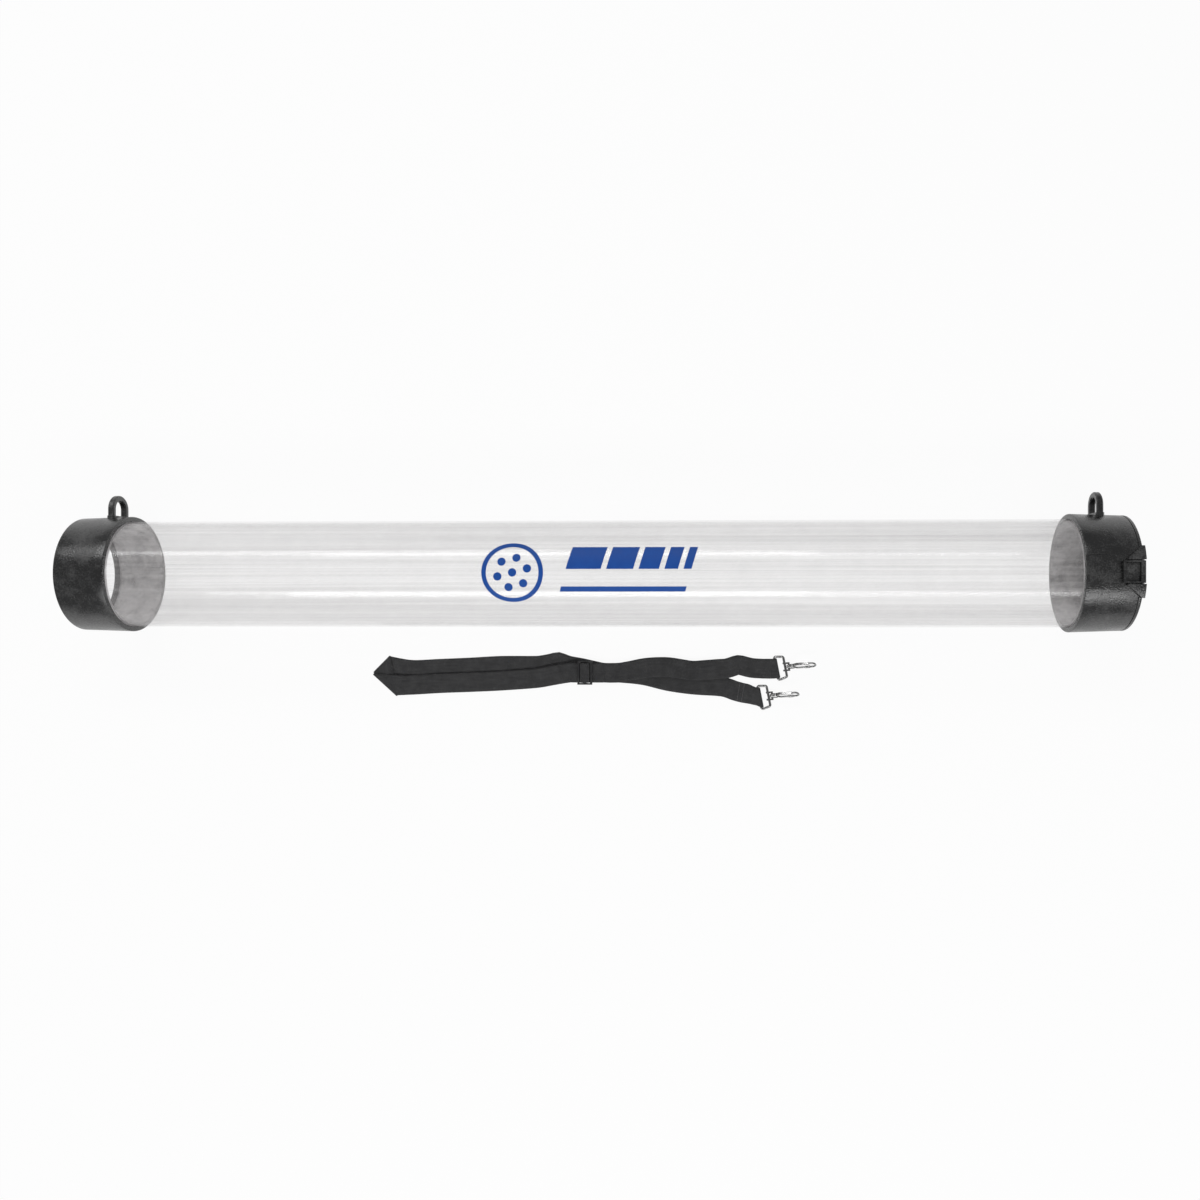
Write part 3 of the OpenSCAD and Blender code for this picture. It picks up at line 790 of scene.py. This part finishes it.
@dataclass
class StrapRoute:
    """The webbing's route: a list of stations, each a middle point and a vector to one edge."""

    width: float = 16.0
    thick: float = 1.0
    gap: float = 0.2
    loop_r: float = 1.0
    loop_slack: float = 0.1
    # The way both loops face, in degrees, and the middle of each loop's bar
    loop_turn: float = 11.0
    loop_a: tuple[float, float] = (544.9, -76)
    loop_b: tuple[float, float] = (531.4, -99.7)
    # Middle of the adjuster
    glide_x: float = 389.5
    glide_y: float = -79.7
    fold_steps: int = 12
    wrap_steps: int = 18
    bar_step: float = 0.45
    # The station of the way to the adjuster at which the first length ends
    split: int = 3

    def layer(self, i: float) -> float:
        """The height of the middle of layer i on the floor."""
        return FLOOR_Z + self.thick / 2 + i * (self.thick + self.gap)

    def run(self, points: list[tuple[float, ...]], side: int, step: float = 3.0) -> list[Station]:
        """A laid stretch through points, eased by a smooth curve.

        Args:
            points: x, y, z, rise and skew of each point.
            side: +1 if the edge vector is to the left, -1 to the right.
            step: Distance between stations.

        Returns:
            The stations.
        """
        p = [tuple(q) + (0.0,) * (5 - len(q)) for q in points]
        fine: list[list[float]] = []
        for i in range(len(p) - 1):
            a, b, c, d = p[max(i - 1, 0)], p[i], p[i + 1], p[min(i + 2, len(p) - 1)]
            n = max(1, round(math.dist(b[:3], c[:3]) / step))
            for j in range(n + (i == len(p) - 2)):
                t = j / n
                fine.append([
                    0.5 * (2 * b[k] + (c[k] - a[k]) * t + (2 * a[k] - 5 * b[k] + 4 * c[k] - d[k]) * t * t
                           + (3 * b[k] - a[k] - 3 * c[k] + d[k]) * t ** 3) for k in range(5)])
        out = []
        for i, q in enumerate(fine):
            e, f = fine[min(i + 1, len(fine) - 1)], fine[max(i - 1, 0)]
            heading = math.atan2(e[1] - f[1], e[0] - f[0]) + math.radians(q[4] + 90)
            across = Vector((math.cos(heading), math.sin(heading), 0)) * side * self.width / 2
            out.append((Vector(q[:3]), across + Vector((0, 0, q[3]))))
        return out

    def fold(self, at: tuple[float, float], z: float, a_in: float, a_out: float, side: int) -> list[Station]:
        """A flat fold over a slanted line, one layer up.

        Args:
            at: Middle of the fold line.
            z: Height of the layer below.
            a_in: Heading before the fold, in degrees.
            a_out: Heading after it.
            side: The side of the edge vector before the fold.

        Returns:
            The stations.
        """
        a = math.radians((a_in + a_out) / 2)
        half = self.width / 2 / math.sin(a - math.radians(a_in))
        r = (self.thick + self.gap) / 2
        out = []
        for i in range(self.fold_steps + 1):
            t = math.pi * i / self.fold_steps
            mid = Vector((at[0] + r * math.sin(t) * math.sin(a), at[1] - r * math.sin(t) * math.cos(a),
                          z + r * (1 - math.cos(t))))
            out.append((mid, side * half * Vector((math.cos(a), math.sin(a), 0))))
        return out

    def wrap(self, at: tuple[float, float], start: float, end: float, side: int) -> list[Station]:
        """A turn round a loop's bar.

        Args:
            at: Middle of the bar.
            start: First angle, with 0 at the top and 180 at the bottom.
            end: Last angle.
            side: The sign of the edge vector.

        Returns:
            The stations.
        """
        r = self.loop_r + self.loop_slack + self.thick / 2
        centre = Vector((at[0], at[1], self.layer(0) + r))
        turn = math.radians(self.loop_turn)
        c, s = math.cos(turn), math.sin(turn)
        out = []
        for i in range(self.wrap_steps + 1):
            t = math.radians(start + (end - start) * i / self.wrap_steps)
            out.append((centre + r * Vector((c * math.sin(t), s * math.sin(t), math.cos(t))),
                        side * self.width / 2 * Vector((-s, c, 0))))
        return out

    def through(self, points: list[tuple[float, float]]) -> list[Station]:
        """A stretch that goes up and down through the adjuster.

        Args:
            points: x from the adjuster's middle and height above the fourth layer.

        Returns:
            The stations.
        """
        base = self.layer(3)
        line = self.run([(x, 0.0, z) for x, z in points], 1, self.bar_step)
        return [(Vector((self.glide_x + m.x, self.glide_y, base + m.z)), Vector((0, -self.width / 2, 0)))
                for m, _ in line]

    def parts(self) -> tuple[list[Station], list[Station], list[Station]]:
        """The whole route in three lengths.

        Returns:
            The length from hook b to the tip and back, the length up to the adjuster, and the
            doubled length to hook a.
        """
        f = [self.layer(i) for i in range(5)]
        sewn_end = [
            (512.5, -94.5, f[0], 0, 2), (517.5, -95.8, f[0], 0, 6), (522.5, -96.7, f[0], 0, 14),
            (527.6, -98.2, f[0], 0, 28)]
        single_leg = [
            (527.4, -98.1, f[1] + 0.9, 0, 28), (522.5, -96.7, f[1], 0, 14), (517.5, -95.8, f[1], 0, 6),
            (511, -94, f[1], 0, 2), (504.5, -91.7, f[0]), (497, -90.6, f[0]), (477, -89.4, f[0]),
            (457, -86.6, f[0]), (437.5, -82, f[0]), (418, -80, f[0]), (405, -79.9, f[0]), (396, -78.2, f[0]),
            (387, -76.2, f[0]), (375.5, -74.1, f[0]), (370.5, -72.3, f[0]), (366.7, -71, f[0]),
            (362, -72.2, f[0]), (352, -74, f[0]), (344, -74.3, f[0]), (319, -74.4, f[0]), (294, -75.8, f[0]),
            (269, -76.9, f[0]), (247, -77.9, f[0]), (234, -76.2, f[0])]
        column = [
            (241, -90.6, f[1] - 0.2, -0.8), (250, -90.2, f[1] - 0.5, -0.7), (269, -89, f[1] - 0.5, -0.7),
            (294, -88, f[1] - 0.5, -0.7), (319, -86.8, f[1] - 0.5, -0.7), (344, -85, f[1] - 0.4, -0.8),
            (353, -84, f[1] - 0.3, -0.9), (362, -82.3, f[1], -1.1), (371, -80.7, f[1] + 0.3, -0.9)]
        over_bar = [
            (-12, -0.7), (-8, 0), (-5.6, -0.05), (-4.2, -0.05), (-3.45, 0.6), (-3.25, 2.1), (-2.7, 3.3),
            (-1.4, 4), (-0.1, 4.1), (1.3, 4), (2.5, 3.2), (2.95, 1.8), (3.1, 0.6), (3.9, 0),
            (5.5, 0), (8, 0), (12, 0), (13.9, -0.1), (15.9, -1.1)]
        top = [
            (409, -79.9, f[2]), (418, -79.6, f[2]), (428, -77.8, f[2]), (438, -75.8, f[2]), (448, -75, f[2]),
            (458, -75.1, f[2]), (468, -76.6, f[2]), (477, -77.9, f[2]), (487, -77.3, f[2]),
            (497, -76.5, f[2]), (504.5, -76, f[1] + 1), (509.5, -74.6, f[1] + 0.2), (514.2, -73.2, f[1]),
            (518.8, -74.1, f[1]), (525, -75.6, f[1]), (534, -76.2, f[1], 0, 3),
            (540.9, -76.3, f[1] + 0.9, 0, 11)]
        bottom = [(q[0], q[1], q[2] - self.thick - self.gap) for q in top[-2::-1]]
        round_bar = [
            (10, -2.4), (4, -2.4), (1, -2.4), (-0.9, -1.6), (-1.8, -0.2), (-1.8, 2.2), (-1.25, 2.75),
            (-0.1, 2.8), (1.05, 2.75), (1.6, 2.2), (1.6, -0.2), (2.7, -1.15), (6.5, -1.2), (13.8, -1.2)]
        laid = (self.run(sewn_end, 1) + self.wrap(self.loop_b, 180, 0, 1) + self.run(single_leg, -1)
                + self.fold((221.3, -73.7), f[0], 169, 281, -1)
                + self.fold((224.4, -89.9), f[1], 281, 355, 1))
        run_in = self.run(column, -1)
        over = self.through(over_bar)
        cut = min(range(len(over)), key=lambda i: -over[i][0].z)
        doubled = (over[cut:] + self.run(top, -1) + self.wrap(self.loop_a, 0, 180, -1)
                   + self.run(bottom, 1) + self.through(round_bar))
        return laid + run_in[:self.split + 1], run_in[self.split:] + over[:cut + 1], doubled


@dataclass
class Strap:
    """The webbing with its stitches."""

    route: StrapRoute
    columns: int = 12
    # The part of the width that is flat, and half the edge's height in thicknesses
    flat_share: float = 0.965
    edge_share: float = 0.2
    stitch_rows: tuple[tuple[float, float], ...] = ((514.4, -95.0), (518.0, -95.9))
    stitches_each_side: int = 4
    stitch_pitch: float = 1.65
    stitch_heading: float = -10.0
    stitch_half: tuple[float, float, float] = (0.4, 0.75, 0.24)
    stitch_lift: float = 0.08

    def ribbon(self, name: str, stations: list[Station], before: Station | None, after: Station | None,
               start_cm: float) -> tuple[bpy.types.Object, float]:
        """Builds one length of webbing with a woven edge on each side.

        Args:
            name: The piece's name.
            stations: Its route.
            before: The station before its start, where another length joins.
            after: The station after its end.
            start_cm: Length along the strap at its start, for the weave.

        Returns:
            The piece and the length along the strap at its end.
        """
        r = self.route
        s = [-1 + 2 * i / self.columns for i in range(self.columns + 1)]
        # Cross section, from one edge over the top to the other edge and back underneath
        face = [(u * self.flat_share, 0.5) for u in s]
        e = self.edge_share
        ring = [(-1, -e), (-1, e)] + face + [(1, e), (1, -e)] + [(u, -t) for u, t in reversed(face)]
        around = len(ring)
        verts, uvs, run = [], [], start_cm
        mids = [q[0] for q in stations]
        for i, (mid, half) in enumerate(stations):
            a = mids[i - 1] if i else (before[0] if before else mid)
            b = mids[i + 1] if i + 1 < len(mids) else (after[0] if after else mid)
            up = (b - a).cross(half).normalized() * r.thick
            if i:
                run += (mid - mids[i - 1]).length / 10
            for u, t in ring:
                verts.append((mid + half * u + up * t) * MM)
                uvs.append((u * half.length / 10, run))
        faces = []
        for i in range(len(stations) - 1):
            for k in range(around):
                k2 = (k + 1) % around
                faces.append((i * around + k, i * around + k2, (i + 1) * around + k2, (i + 1) * around + k))
        faces.append(tuple(range(around))[::-1])
        faces.append(tuple(range((len(stations) - 1) * around, len(stations) * around)))
        mesh = bpy.data.meshes.new(name)
        mesh.from_pydata([tuple(v) for v in verts], [], faces)
        uv = mesh.uv_layers.new(name="strap")
        for loop in mesh.loops:
            uv.data[loop.index].uv = uvs[loop.vertex_index]
        obj = bpy.data.objects.new(name, mesh)
        bpy.context.scene.collection.objects.link(obj)
        turn_outwards(obj)
        smooth(obj, 50)
        return obj, run

    def stitches(self, palette: Palette) -> None:
        """Builds the two rows of stitches that close the strap's end round loop b.

        Args:
            palette: The materials.
        """
        made = []
        top = self.route.layer(1) + self.route.thick / 2 + self.stitch_lift
        heading = math.radians(self.stitch_heading)
        n = self.stitches_each_side
        for x, y in self.stitch_rows:
            for j in range(-n, n + 1):
                bpy.ops.mesh.primitive_uv_sphere_add(segments=10, ring_count=6, radius=1)
                o = bpy.context.active_object
                d = j * self.stitch_pitch
                o.scale = tuple(half * MM for half in self.stitch_half)
                o.rotation_euler = (0, 0, heading)
                o.location = ((x - d * math.sin(heading)) * MM, (y + d * math.cos(heading)) * MM, top * MM)
                made.append(o)
        o = join(made, "strap_stitches")
        smooth(o, 80)
        paint(o, palette.thread)
        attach(o, Body.STRAP.value)

    def build(self, palette: Palette) -> None:
        """Builds the webbing and its stitches.

        Args:
            palette: The materials.
        """
        laid, run_in, doubled = self.route.parts()
        start = 0.0
        jobs = (("webbing_laid", laid, None, run_in[1]), ("webbing_run_in", run_in, laid[-2], doubled[1]),
                ("webbing_doubled", doubled, run_in[-2], None))
        pieces = []
        for name, stations, before, after in jobs:
            obj, end = self.ribbon(name, stations, before, after, start)
            paint(obj, palette.webbing)
            log.info("%s: %.0f mm, %d faces", name, (end - start) * 10, len(obj.data.polygons))
            pieces.append(obj)
            start = end
        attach(pieces[0], Body.STRAP.value)
        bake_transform(pieces[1])
        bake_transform(pieces[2])
        for obj in pieces:
            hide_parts("webbing_strap")
        self.stitches(palette)


@dataclass(frozen=True)
class Lamp:
    """A soft rectangular lamp. Its sides, place and aim are in metres."""

    name: str
    watts: float
    size: tuple[float, float]
    place: tuple[float, float, float]
    aim: tuple[float, float, float]

    def build(self) -> None:
        """Adds the lamp to the scene."""
        data = bpy.data.lights.new(self.name, "AREA")
        data.shape = "RECTANGLE"
        data.size, data.size_y = self.size
        data.energy = self.watts
        lamp = bpy.data.objects.new(self.name, data)
        lamp.location = self.place
        lamp.rotation_euler = (Vector(self.aim) - Vector(self.place)).to_track_quat("-Z", "Y").to_euler()
        bpy.context.scene.collection.objects.link(lamp)


@dataclass(frozen=True)
class Studio:
    """The camera that was fitted to the photograph, the floor and the lights."""

    focal_mm: float = 31.608
    shift_x: float = -0.0718
    eye: tuple[float, float, float] = (505.7, -20.4, 814.1)
    yaw: float = 0.0394
    floor_grey: float = 0.8
    floor_roughness: float = 0.9
    floor_share: float = 0.94
    sky: tuple[float, float, float] = (0.9, 0.905, 0.92)
    sky_strength: float = 0.28
    sky_mirrored: float = 0.1
    lamps: tuple[Lamp, ...] = (Lamp("key", 16, (2.2, 0.26), (0.62, -1.15, 1.1), (0.62, 0, 0)),
                               Lamp("fill", 11.5, (1.8, 0.26), (-0.2, 1.1, 1.15), (-0.2, 0, 0)))

    def camera(self) -> None:
        """Makes the camera look straight down, with the lid's end a little nearer."""
        data = bpy.data.cameras.new("camera")
        data.sensor_width = 36
        data.lens = self.focal_mm
        data.shift_x = self.shift_x
        data.clip_start = 0.01
        cam = bpy.data.objects.new("camera", data)
        c, s = math.cos(self.yaw), math.sin(self.yaw)
        turn = Matrix(((c, 0, s), (0, 1, 0), (-s, 0, c))).to_4x4()
        cam.matrix_world = Matrix.Translation(Vector(self.eye) * MM) @ turn
        bpy.context.scene.collection.objects.link(cam)
        bpy.context.scene.camera = cam

    def white_to_camera(self, tree: bpy.types.NodeTree, shader: bpy.types.NodeSocket, share: float,
                        mirrored: float, out: bpy.types.NodeSocket) -> None:
        """Mixes plain white into a shader for camera, mirror and see-through rays.

        Args:
            tree: The material's nodes.
            shader: The shader that lights and shadows fall on.
            share: How much of the white is mixed in.
            mirrored: The part of that share that gloss and glass show.
            out: The surface socket.
        """
        rays = tree.nodes.new("ShaderNodeLightPath")
        bent = math_node(tree, "MAXIMUM", rays.outputs["Is Glossy Ray"], rays.outputs["Is Transmission Ray"])
        bent = math_node(tree, "MULTIPLY", bent, mirrored)
        seen = math_node(tree, "MAXIMUM", rays.outputs["Is Camera Ray"], bent)
        white = tree.nodes.new("ShaderNodeEmission")
        white.inputs["Strength"].default_value = 1
        mix = tree.nodes.new("ShaderNodeMixShader")
        tree.links.new(math_node(tree, "MULTIPLY", seen, share), mix.inputs[0])
        tree.links.new(shader, mix.inputs[1])
        tree.links.new(white.outputs[0], mix.inputs[2])
        tree.links.new(mix.outputs[0], out)

    def floor(self) -> None:
        """Makes the pale floor that the tube and the strap lie on."""
        bpy.ops.mesh.primitive_plane_add(size=8, location=(0.4, 0, FLOOR_Z * MM))
        floor = bpy.context.active_object
        floor.name = "floor"
        mat, t, b = new_material("pale_floor")
        b.inputs["Base Color"].default_value = (*[self.floor_grey] * 3, 1)
        b.inputs["Roughness"].default_value = self.floor_roughness
        surface = t.nodes["Material Output"].inputs["Surface"]
        self.white_to_camera(t, b.outputs[0], self.floor_share, 1, surface)
        floor.data.materials.append(mat)

    def lights(self) -> None:
        """Adds the lamps and the white surroundings."""
        for lamp in self.lamps:
            lamp.build()
        world = bpy.data.worlds.new("studio")
        bpy.context.scene.world = world
        world.use_nodes = True
        tree = world.node_tree
        sky, out = tree.nodes["Background"], tree.nodes["World Output"].inputs["Surface"]
        sky.inputs["Color"].default_value = (*self.sky, 1)
        sky.inputs["Strength"].default_value = self.sky_strength
        self.white_to_camera(tree, sky.outputs[0], 1, self.sky_mirrored, out)


def main() -> None:
    """Builds the scene in order."""
    logging.basicConfig(level=logging.INFO, format="%(message)s")
    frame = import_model()
    studio = Studio()
    studio.camera()
    bpy.context.scene.view_settings.view_transform = "Standard"
    nodes = frame["nodes"]
    palette = Palette()
    ClearTube().build(palette)
    plastic = [CadSkin("pickup_collar", Body.CARRIER.value, "collar_plastic", 0.3),
               CadSkin("release_collar", Body.CARRIER.value, "collar_plastic", 0.3),
               CadSkin("lid", Body.LID.value, "collar_plastic", 0.25),
               CadSkin("latch", Body.LATCH.value, "collar_plastic", 0.25)]
    for part in plastic:
        part.build(nodes, palette.collar)
    CadSkin("lid_hinge_pin", Body.CARRIER.value, "pin_steel", 0.12).build(nodes, palette.pin)
    CadSkin("latch_pin", Body.LID.value, "pin_steel", 0.12).build(nodes, palette.pin)
    CadSkin("adjuster_slide", Body.ADJUSTER.value, "adjuster_plastic", 0.3).build(nodes, palette.adjuster)
    for hook in ("a", "b"):
        CadSkin(f"loop_{hook}", f"loop_{hook}", "hook_metal").build(nodes, palette.nickel)
        CadSkin(f"yoke_{hook}", f"yoke_{hook}", "hook_metal", 0.12).build(nodes, palette.nickel)
        CadSkin(f"hook_{hook}", f"hook_{hook}", "hook_metal").build(nodes, palette.nickel)
        CadSkin(f"gate_{hook}", f"gate_{hook}", "hook_metal", 0.12).build(nodes, palette.nickel)
        CadSkin(f"gate_rivet_{hook}", f"hook_{hook}", "pin_steel", 0.08).build(nodes, palette.pin)
    Strap(StrapRoute()).build(palette)
    studio.floor()
    studio.lights()


if __name__ == "__main__":
    main()
